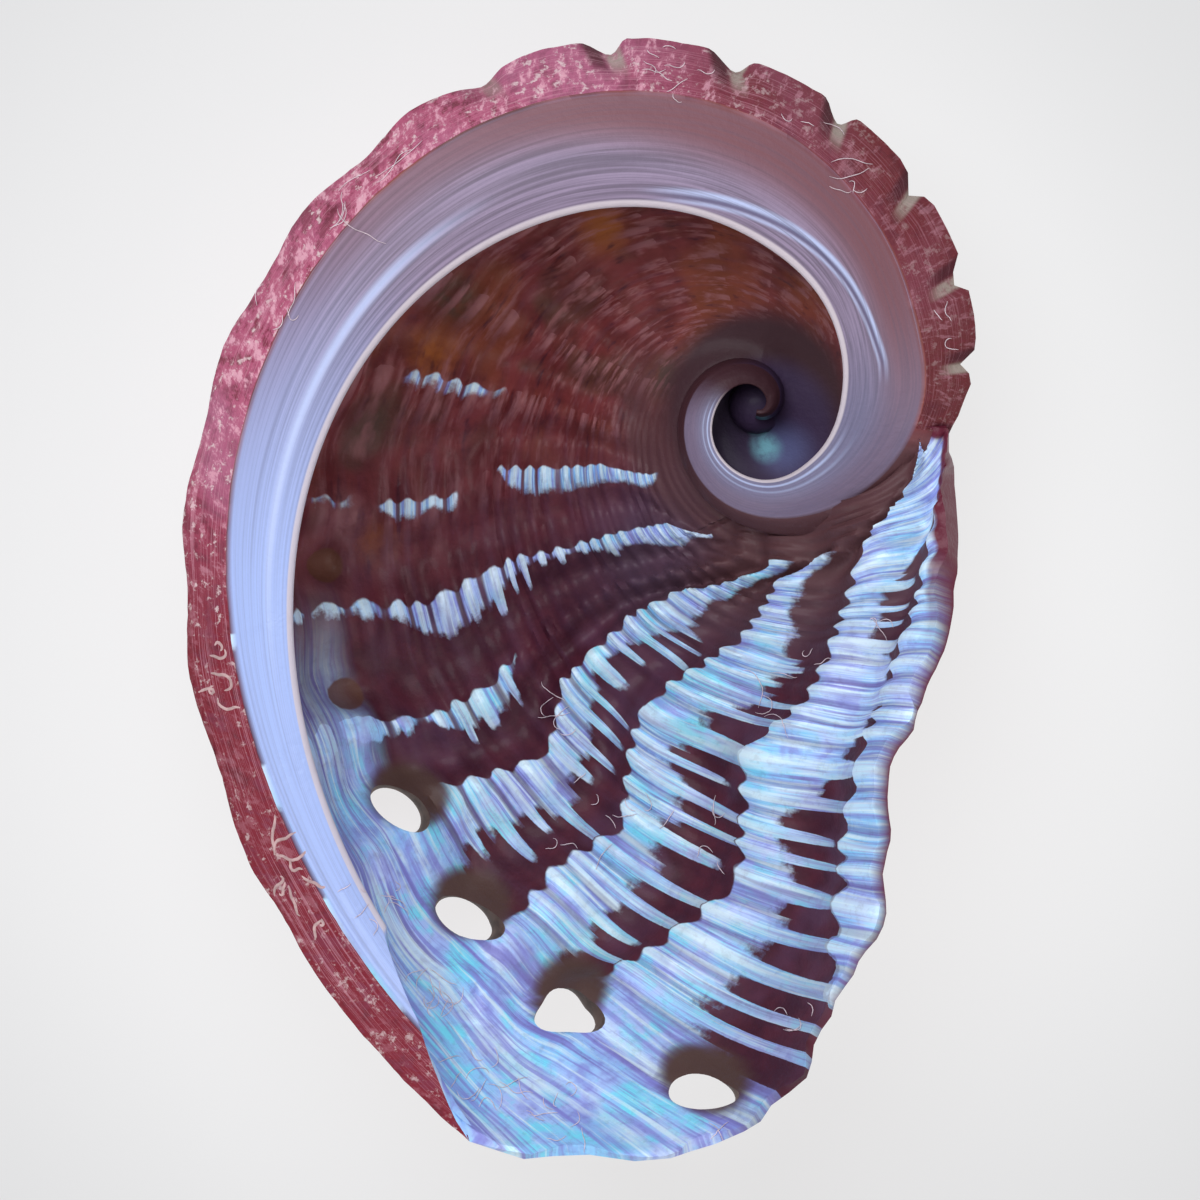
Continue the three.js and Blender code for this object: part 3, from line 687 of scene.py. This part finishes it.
    # the ledge: a brown top, a painted highlight streak on the left, a painted highlight along its inner edge, and a
    # painted shade line for a groove, with pale lines beside it, towards the right
    top = times(ramp(turn, -20, 50), ramp(turn, 175, 120))
    brown = times(ramp(across, ramp(turn, 150, 90, (0.55, 0.25)), ramp(turn, 150, 90, (0.95, 0.75))),
                    total(times(top, 0.62), 0.3), ramp(turn, 205, 170), ramp(growth, 0.3, 0.62, (0.7, 1.0)))
    streak = times(ramp(apart(across, 0.36), 0.1, 0.0), ramp(turn, 140, 165), ramp(turn, 215, 190))
    beside = less(across, ramp(turn, 118, 18, (0.07, 0.5), kind="LINEAR"))
    grooveLong = times(ramp(turn, 122, 104), ramp(turn, 6, 26))
    palePair = most(times(ramp(apart(beside, 0.045), 0.05, 0.0), grooveLong),
                    times(ramp(apart(beside, -0.05), 0.035, 0.0), grooveLong, 0.7))
    ringLines = most(ramp(apart(across, 0.13), 0.05, 0.0), ramp(apart(across, 0.3), 0.05, 0.0, (0.0, 0.45)))
    shelf = paint(tree, look, look["ledgeDark"], (
        ("ledgeLight", ramp(growth, 0.32, 0.68)),
        ("ringGrey", times(ramp(turn, 60, -20), 0.7)),
        ("ledgeBrown", brown),
        ("ledgeBlue", times(ramp(turn, 155, 205), ramp(growth, 0.3, 0.6, (0.7, 0.95)))),
        # the painted highlight streak
        ("streak", times(streak, 0.75)),
        # painted shade of a groove that the ledge's shape doesn't have
        ("grooveDark", times(ramp(apart(beside, 0.0), 0.05, 0.01), grooveLong, 0.7)),
        ("streak", times(palePair, ramp(growth, 0.3, 0.55, (0.4, 1.0)), 0.9)),
        ("streak", times(ringLines, ramp(turn, -10, -50), ramp(turn, -200, -165), 0.75)),
        # painted highlight along the ledge's rounded inner edge
        ("ledgeEdge", times(ramp(across, 0.03, 0.0), ramp(turn, -225, -190), 0.85)),
        ("whorlBrown", ramp(turn, -160, -215)),
    ))
    setInputs(tree, shader, {
        "Base Color": blendColour(tree, ledge, inside, shelf),
        "Roughness": total(times(fine, 0.2), times(paintedHighlight, -0.24), times(ledge, -0.05), look["roughness"]),
        "Metallic": look["metallic"], "Specular IOR Level": look["specular"],
        "Coat Weight": look["coat"], "Coat Roughness": look["coatRoughness"],
        "Normal": addBump(tree, fine, look),
    })
    return material


outsideLook = {
    "dusky": (0.15, 0.024, 0.030), "rose": (0.42, 0.09, 0.17), "brownRed": (0.13, 0.022, 0.026),
    "red": (0.20, 0.014, 0.028), "deepRose": (0.20, 0.028, 0.055), "maroon": (0.07, 0.01, 0.018),
    "violetRose": (0.42, 0.14, 0.25), "palePink": (0.74, 0.38, 0.47), "cream": (0.76, 0.62, 0.62),
    "greyCream": (0.34, 0.29, 0.25), "lipRed": (0.10, 0.014, 0.028),
    "roughness": 0.62, "specular": 0.2, "bump": (0.6, 0.00018),  # strength, distance
}


def makeOutside():
    look = outsideLook
    material, tree, shader, spot = newMaterial("outerLayer")
    times, total, less, most, apart, ramp = shortForms(tree)
    fold, turn, across, lip = readFields(tree, "fold turn across lip", True)
    broad, middle, fine = grain(tree, spot, 160, 2), grain(tree, spot, 700, 4, 0.65), grain(tree, spot, 2400, 4, 0.7)
    depth = times(addNode(tree, "ShaderNodeSeparateXYZ", {0: spot}).outputs[2], 700.0)
    weave = times(across, 2.6)
    leaves = grain(tree, combine(tree, total(times(turn, 0.55), weave), weave, depth), 1.0, 4, 0.72)
    stripes = grain(tree, combine(tree, times(across, 60.0), times(turn, 0.05)), 1.0, 3, 0.6)
    rough = ramp(turn, 70, 125, (0.22, 1.0))
    flecks = times(ramp(fine, 0.54, 0.64), ramp(middle, 0.56, 0.44), rough)
    into = calc(tree, "FRACT", fold)
    early = times(ramp(turn, 150, 110), ramp(across, 0.35, 0.8))
    colour = paint(tree, look, look["dusky"], (
        ("rose", ramp(turn, 85, 125)),
        ("brownRed", ramp(turn, 45, 10)),
        ("red", ramp(turn, 178, 205)),
        ("deepRose", times(ramp(leaves, 0.49, 0.38), rough, 0.9)),
        ("maroon", times(ramp(middle, 0.52, 0.7), 0.5)),
        ("violetRose", times(ramp(broad, 0.45, 0.62), rough, ramp(turn, 205, 185), 0.5)),
        ("palePink", times(ramp(leaves, 0.52, 0.64), rough, ramp(turn, 180, 205, (0.85, 0.15)))),
        ("cream", times(flecks, ramp(turn, 195, 215, (0.75, 0.5)))),
        ("greyCream", times(ramp(apart(into, 0.47), 0.1, 0.04), early, ramp(middle, 0.3, 0.5), 0.9)),
        ("maroon", times(ramp(apart(into, 0.62), 0.1, 0.03), early, 0.95)),
        ("palePink", times(ramp(across, 0.93, 0.88), ramp(stripes, 0.5, 0.65), ramp(turn, 60, 120, (0.16, 0.35)))),
        ("lipRed", lip),
    ))
    setInputs(tree, shader, {"Base Color": colour, "Roughness": look["roughness"],
                             "Specular IOR Level": look["specular"], "Normal": addBump(tree, fine, look)})
    return material


def makeSpeckled(name, dark, light, scale=1500, detail=3, harshness=0.6, roughness=0.6):
    material, tree, shader, spot = newMaterial(name)
    speckle = span(tree, grain(tree, spot, scale, detail, harshness), 0.35, 0.65)
    setInputs(tree, shader, {"Base Color": blendColour(tree, speckle, dark, light), "Roughness": roughness})
    return material


# Relief on the sheets, in millimetres.
reliefSizes = {
    "Fold height": 0.40, "Rib height": 0.09, "Knob height": 0.08, "Growth line height": 0.05,
    "Crust height": 0.16, "Pore rim height": 0.14, "Healed pore depth": 0.32,
}
crestShift = 0.12  # how far past a fold's line its crest stands, as a share of the fold


def makeReliefTree():
    finishes = [(label, "NodeSocketMaterial") for label in ("Pearl", "Outer layer")]
    tree, source, result = newGeometryTree("shellRelief", [(k, "NodeSocketFloat") for k in reliefSizes] + finishes)
    times, total, less, most, apart, ramp = shortForms(tree)
    size = source.outputs
    fold, rib, turn, across, ledge, outside, foldFade, ribFade, rim, dimple = readFields(
        tree, "fold rib turn across ledge outside foldFade ribFade rim dimple")
    foldWave, ribWave = (calc(tree, "COSINE", times(phase, 2 * math.pi)) for phase in (less(fold, crestShift), rib))
    rough = grain(tree, addNode(tree, "GeometryNodeInputPosition").outputs[0], 900.0, 3.0, 0.6)
    lines = grain(tree, combine(tree, times(across, 18.0), times(turn, 0.03)), 1.0, 2.0)
    height = total(
        times(foldWave, foldFade, size["Fold height"]),
        times(ribWave, ribFade, size["Rib height"]),
        times(most(foldWave, 0.0), ribWave, foldFade, size["Knob height"]),
        times(less(rough, 0.5), times(outside, size["Crust height"])),
        times(less(lines, 0.5), times(ledge, size["Growth line height"])),
        times(dimple, times(size["Healed pore depth"], -1.0)),
        times(rim, size["Pore rim height"]),
    )
    lift = addNode(tree, "GeometryNodeInputNamedAttribute", {"Name": "lift"}, data_type="FLOAT_VECTOR").outputs[0]
    inputs = {0: lift, "Scale": times(height, 0.001)}
    offset = addNode(tree, "ShaderNodeVectorMath", inputs, operation="SCALE").outputs[0]
    chain = size["Geometry"]
    onOutside = addNode(tree, "FunctionNodeCompare", {0: outside, 1: 0.8}, data_type="FLOAT",
                        operation="GREATER_THAN").outputs[0]
    for kind, inputs in (("SetPosition", {"Offset": offset}), ("RealizeInstances", {}),
                         ("SetMaterial", {"Material": size["Pearl"]}),
                         ("SetMaterial", {"Selection": onOutside, "Material": size["Outer layer"]})):
        chain = addNode(tree, "GeometryNode" + kind, {"Geometry": chain, **inputs}).outputs[0]
    tree.links.new(chain, result.inputs[0])
    return tree


poreShape = {
    "sides": 40, "levels": 13, "halfHeight": 2.6, "middleLift": 0.55, "waist": 0.97,
    "flare": 0.32, "flareDepth": 1.6, "lean": 0.35,  # the bore widens to both ends and leans inwards to the top
    "dark": (0.06, 0.032, 0.024), "light": (0.13, 0.075, 0.055),
}


def makePoreCutter(index, pore):
    x, y, long, wide, turned = pore
    shape, turn = poreShape, math.radians(turned)
    middle = float(domeHeight(np.array([x]), np.array([y]))[0]) + shape["middleLift"]
    inwards = -np.array([x, y]) / math.hypot(x, y)
    points = []
    for level in np.linspace(-1, 1, shape["levels"]):
        z = level * shape["halfHeight"]
        girth = shape["waist"] + shape["flare"] * (abs(z) / shape["flareDepth"]) ** 2
        lean = shape["lean"] * max(0, z) ** 1.3
        for k in range(shape["sides"]):
            a = 2 * math.pi * k / shape["sides"]
            wider = girth * (1 + poreCorners[index] * math.cos(3 * (a + turn - math.pi / 2)))
            u, v = long * wider * math.cos(a), wide * wider * math.sin(a)
            points.append((x + u * math.cos(turn) - v * math.sin(turn) + inwards[0] * lean,
                           y + u * math.sin(turn) + v * math.cos(turn) + inwards[1] * lean, middle + z))
    n, top = shape["sides"], (shape["levels"] - 1) * shape["sides"]
    faces = [(level + k, level + (k + 1) % n, level + (k + 1) % n + n, level + k + n)
             for level in range(0, top, n) for k in range(n)]
    faces += [tuple(reversed(range(n))), tuple(range(top, top + n))]
    return newPiece(f"poreCutter{index}", toPart(points).tolist(), [], faces)


apexPlug = {"radii": (1.25, 1.25, 0.8), "lift": 0.35, "segments": 16, "rings": 10}  # millimetres


def makeApexPlug(pearl, outerLayer):  # closes the small gap that the first whorl leaves at the apex
    plug = newPiece("apexPlug", [], [], [])
    ball = bmesh.new()
    bmesh.ops.create_uvsphere(ball, u_segments=apexPlug["segments"], v_segments=apexPlug["rings"], radius=0.001)
    ball.to_mesh(plug.data)
    ball.free()
    plug.data.transform(Matrix.Diagonal((*apexPlug["radii"], 1)))
    top = float(domeHeight(np.zeros(1), np.zeros(1))[0]) + apexPlug["lift"]
    plug.data.transform(Matrix.Translation(Vector(toPart([0, 0, top]))))
    for finish in (pearl, outerLayer):
        plug.data.materials.append(finish)
    for face in plug.data.polygons:
        face.material_index = 1 if face.normal.z < 0 else 0
    return plug


wornLook = {"reach": 0.03, "depth": 0.005, "dark": (0.36, 0.27, 0.27), "light": (0.62, 0.54, 0.52)}  # metres


def makeWornFlat():  # takes off what would reach below the flat that the shell rests on
    reach, depth = wornLook["reach"], wornLook["depth"]
    corners = [(x, y, z) for z in (-depth, 0) for y in (-reach, reach) for x in (-reach, reach)]
    faces = [(0, 2, 3, 1), (4, 5, 7, 6), (0, 1, 5, 4), (2, 6, 7, 3), (0, 4, 6, 2), (1, 3, 7, 5)]
    return newPiece("wornFlat", corners, [], faces)


def fieldsToCorners(piece):  # a cut then keeps the right values on both of its sides
    mesh = piece.data
    corners = np.empty(len(mesh.loops), np.int32)
    mesh.loops.foreach_get("vertex_index", corners)
    mesh.attributes.remove(mesh.attributes["lift"])
    for name in [a.name for a in mesh.attributes if a.domain == "POINT" and a.data_type == "FLOAT"]:
        values = np.empty(len(mesh.vertices), np.float32)
        mesh.attributes[name].data.foreach_get("value", values)
        mesh.attributes.remove(mesh.attributes[name])
        mesh.attributes.new(name, "FLOAT", "CORNER").data.foreach_set("value", values[corners])


def cutAway(piece, cutters, finish):  # the cut faces, known by lying on a cutter, get the finish
    surfaces = [BVHTree.FromObject(cutter, bpy.context.evaluated_depsgraph_get()) for cutter in cutters]
    boolean(piece, cutters, "DIFFERENCE")
    piece.data.materials.append(finish)
    for face in piece.data.polygons:
        for surface in surfaces:
            if surface.find_nearest(face.center, 1e-6)[0] is not None:
                face.material_index = len(piece.data.materials) - 1


def boolean(piece, others, operation):
    for other in others:
        modifier = piece.modifiers.new(operation, "BOOLEAN")
        modifier.operation, modifier.solver, modifier.object = operation, "MANIFOLD", other
    bakeMesh(piece)
    for other in others:
        bpy.data.objects.remove(other)


def makeSmooth(piece):
    piece.data.polygons.foreach_set("use_smooth", [True] * len(piece.data.polygons))
    print(piece.name, "made:", len(piece.data.polygons), "faces")


def makeShell():
    pearl, outerLayer = makePearl(), makeOutside()
    relief = makeReliefTree()
    # name, first turn, last turn, columns and how they bunch
    stretches = [makeSheet("shellWall", 60, None, 275, 0.25), makeSheet("spireWall", -200, 60, 90),
                 makeSheet("firstWall", -460, -200, 36)]
    print("sheets made")
    for sheet in stretches:
        runTree(sheet, relief, {**reliefSizes, "Pearl": pearl, "Outer layer": outerLayer})
        fieldsToCorners(sheet)
    shell = stretches[0]
    boolean(shell, stretches[1:] + [makeApexPlug(pearl, outerLayer)], "UNION")
    poreWall = makeSpeckled("poreWall", poreShape["dark"], poreShape["light"])
    cutAway(shell, [makePoreCutter(k, pore) for k, pore in enumerate(openPores)], poreWall)
    cutAway(shell, [makeWornFlat()], makeSpeckled("wornLime", wornLook["dark"], wornLook["light"]))
    shell.name = shell.data.name = "abaloneShell"
    makeSmooth(shell)
    shell.data.set_sharp_from_angle(angle=math.radians(50))
    return shell


# Lint fibres and worm tubes: paths over the shell, given thickness by one tree. A patch has x, y, spread, how many
# strands and their length. All in millimetres.
lintLook = {
    "seed": 11, "thickness": 0.019, "sides": 4, "colour": (0.86, 0.70, 0.76), "lift": 0.05, "bend": 0.3, "steps": 16,
    "patches": [
        (-16.6, 9.4, 0.7, 4, 2.9), (-17.9, 8.0, 0.7, 4, 2.6), (-20.2, 4.0, 1.2, 4, 1.5), (-3.6, 14.0, 2.2, 9, 1.0),
        (2.6, 12.0, 1.6, 5, 1.1), (4.7, 10.2, 0.3, 2, 2.0), (4.3, 9.2, 0.5, 3, 1.2), (8.1, 3.1, 0.5, 3, 1.2),
        (-0.1, -13.0, 0.9, 3, 2.1), (4.9, -9.4, 0.4, 3, 1.5), (1.5, -11.0, 1.6, 3, 1.2), (-8.5, -13.6, 1.3, 5, 1.5),
        (-6.5, -17.5, 2.5, 8, 1.3), (-1.5, -17.2, 2.2, 6, 1.2), (-16.2, -21.0, 1.1, 9, 1.3),
        (-13.9, -25.5, 1.3, 12, 1.4), (-11.8, -29.0, 1.3, 12, 1.5), (-8.4, -30.8, 1.2, 8, 1.3),
        (-2.0, -30.5, 1.2, 5, 1.1), (2.0, -26.5, 0.9, 4, 1.0)],
}
wormLook = {
    "seed": 4, "thickness": 0.09, "sides": 8, "colour": (0.58, 0.38, 0.38), "lift": -0.05, "bend": 0.7, "steps": 16,
    "patches": [(-20.6, -19.3, 0.35, 3, 1.9), (-20.3, -20.4, 0.4, 3, 1.6), (-19.5, -20.1, 0.3, 2, 1.2),
                (-23.2, -12.3, 0.35, 3, 1.6), (-23.3, -10.6, 0.3, 2, 1.1), (-18.9, -22.0, 0.4, 2, 1.0)],
}


def makeStrandTree(name):
    kinds = {"Thickness": "Float", "Sides": "Int", "Material": "Material"}
    tree, source, result = newGeometryTree(name, [(label, "NodeSocket" + kind) for label, kind in kinds.items()])
    times, total, less, most, apart, ramp = shortForms(tree)
    size = source.outputs
    curves = addNode(tree, "GeometryNodeMeshToCurve", {"Mesh": size["Geometry"]}).outputs[0]
    share = addNode(tree, "GeometryNodeSplineParameter").outputs["Factor"]
    ends = less(1.0, calc(tree, "POWER", apart(times(share, 2.0), 1.0), 4.0))
    thick = times(size["Thickness"], total(0.35, times(ends, 0.65)))
    circle = addNode(tree, "GeometryNodeCurvePrimitiveCircle", {"Resolution": size["Sides"], "Radius": 1.0}).outputs[0]
    inputs = {"Curve": curves, "Profile Curve": circle, "Fill Caps": True, "Scale": thick}
    tube = addNode(tree, "GeometryNodeCurveToMesh", inputs).outputs[0]
    real = addNode(tree, "GeometryNodeRealizeInstances", {"Geometry": tube}).outputs[0]
    finished = addNode(tree, "GeometryNodeSetMaterial", {"Geometry": real, "Material": size["Material"]}).outputs[0]
    tree.links.new(finished, result.inputs[0])
    return tree


def makeStrands(name, look, ground):
    chance = np.random.default_rng(look["seed"])
    points, edges = [], []
    down = Vector(turnToPart([0, 0, -1.0]))
    for x, y, spread, count, length in look["patches"]:
        for _ in range(count):
            spot = np.array([x, y]) + chance.normal(0, spread / 2, 2)
            heading, turning = chance.uniform(0, 2 * math.pi), chance.normal(0, look["bend"] / 2)
            step = length * chance.uniform(0.5, 1.2) / look["steps"]
            path = []
            for _ in range(look["steps"]):
                hit, normal, _, _ = ground.ray_cast(Vector(toPart([*spot, 20.0])), down)
                if hit is None or (path and (hit - path[-1]).length > 0.0006):
                    break  # off the shell, or over a step
                path.append(hit + normal * look["lift"] * 0.001)
                turning = 0.8 * turning + chance.normal(0, look["bend"] / 3)
                heading += turning
                spot = spot + step * np.array([math.cos(heading), math.sin(heading)])
            if len(path) > 5:
                edges += [(len(points) + k, len(points) + k + 1) for k in range(len(path) - 1)]
                points += path
    piece = newPiece(name, points, edges, [])
    darker = tuple(c * 0.72 for c in look["colour"])
    finish = makeSpeckled(name + "Finish", darker, look["colour"], 3000, 2, 0.5, 0.8)
    runTree(piece, makeStrandTree(name + "Tubes"),
            {"Thickness": look["thickness"] * 0.001, "Sides": look["sides"], "Material": finish})
    makeSmooth(piece)
    return piece


stageLook = {
    "frameWidth": 51.0, "photoCentre": (-6.804, -8.428), "distance": 567.0,  # millimetres, from the apex
    "lens": 400.0, "clip": (0.01, 20),
    # floorGlow: the floor's own emission from the middle out, a painted pool of light
    "floorHalf": 3, "floorColour": (0.18, 0.18, 0.183), "floorGlow": (0.72, 0.52), "glowReach": (0.014, 0.044),
    "worldColour": (0.84, 0.84, 0.86), "worldStrength": 0.38,
    # place, size, power and colour of each light
    "keyLight": ((-0.10, 0.22, 0.38), 0.40, 1.6, (0.93, 0.96, 1.0)),
    "fillLight": ((0.32, -0.18, 0.30), 0.45, 0.75, (1.0, 0.97, 0.95)),
    "lowLight": ((-0.30, -0.25, 0.14), 0.30, 0.55, (1.0, 1.0, 1.0)),
    "lightTarget": (0, 0, 0.008),
}


def makeFloor():  # a table that glows by its own emission, brightest in the middle, a painted pool of light, so that the pores show bright
    look, half = stageLook, stageLook["floorHalf"]
    corners = [(-half, -half, 0), (half, -half, 0), (half, half, 0), (-half, half, 0)]
    floor = newPiece("floor", corners, [], [(0, 1, 2, 3)])
    material, tree, shader, spot = newMaterial("paleFloor")
    fromMiddle = addNode(tree, "ShaderNodeVectorMath", {0: spot}, operation="LENGTH").outputs["Value"]
    glow = span(tree, fromMiddle, *look["glowReach"], look["floorGlow"])
    setInputs(tree, shader, {"Base Color": (*look["floorColour"], 1), "Roughness": 0.9,
                             "Emission Color": (1, 1, 1, 1), "Emission Strength": glow})
    floor.data.materials.append(material)
    floor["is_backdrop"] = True


def makeCamera():
    look = stageLook
    target = Vector(toPart([*look["photoCentre"], 0]))
    towards = Vector(turnToPart([0, 0, 1.0])).normalized()
    upwards = Vector(turnToPart([0, 1.0, 0])).normalized()
    right = upwards.cross(towards)
    camera = bpy.data.objects.new("camera", bpy.data.cameras.new("camera"))
    camera.data.lens, camera.data.sensor_width = look["lens"], look["lens"] / look["distance"] * look["frameWidth"]
    camera.data.clip_start, camera.data.clip_end = look["clip"]
    place = Matrix.Translation(target + towards * look["distance"] * 0.001)
    camera.matrix_world = place @ Matrix((right, upwards, towards)).transposed().to_4x4()
    bpy.context.scene.collection.objects.link(camera)
    bpy.context.scene.camera = camera


def makeLights():
    world = bpy.data.worlds.new("studio")
    world.use_nodes = True
    back = world.node_tree.nodes["Background"]
    back.inputs[0].default_value = (*stageLook["worldColour"], 1)
    back.inputs[1].default_value = stageLook["worldStrength"]
    bpy.context.scene.world = world
    for name in ("keyLight", "fillLight", "lowLight"):
        place, size, power, colour = stageLook[name]
        lamp = bpy.data.objects.new(name, bpy.data.lights.new(name, "AREA"))
        lamp.data.shape, lamp.data.size, lamp.data.energy, lamp.data.color = "DISK", size, power, colour
        lamp.location = place
        towards = Vector(stageLook["lightTarget"]) - Vector(place)
        lamp.rotation_euler = towards.to_track_quat("-Z", "Y").to_euler()
        bpy.context.scene.collection.objects.link(lamp)
    bpy.context.scene.view_settings.view_transform = "Standard"


makeFloor()
makeCamera()
makeLights()
print("stage made")
shell = makeShell()
ground = BVHTree.FromObject(shell, bpy.context.evaluated_depsgraph_get())
lint = makeStrands("lintFibres", lintLook, ground)
worms = makeStrands("wormTubes", wormLook, ground)
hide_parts("shell")
for piece in (shell, lint, worms):
    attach(piece, "root")

visualBox = [list(corner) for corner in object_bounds()]
print("boxes", cadBox, visualBox)
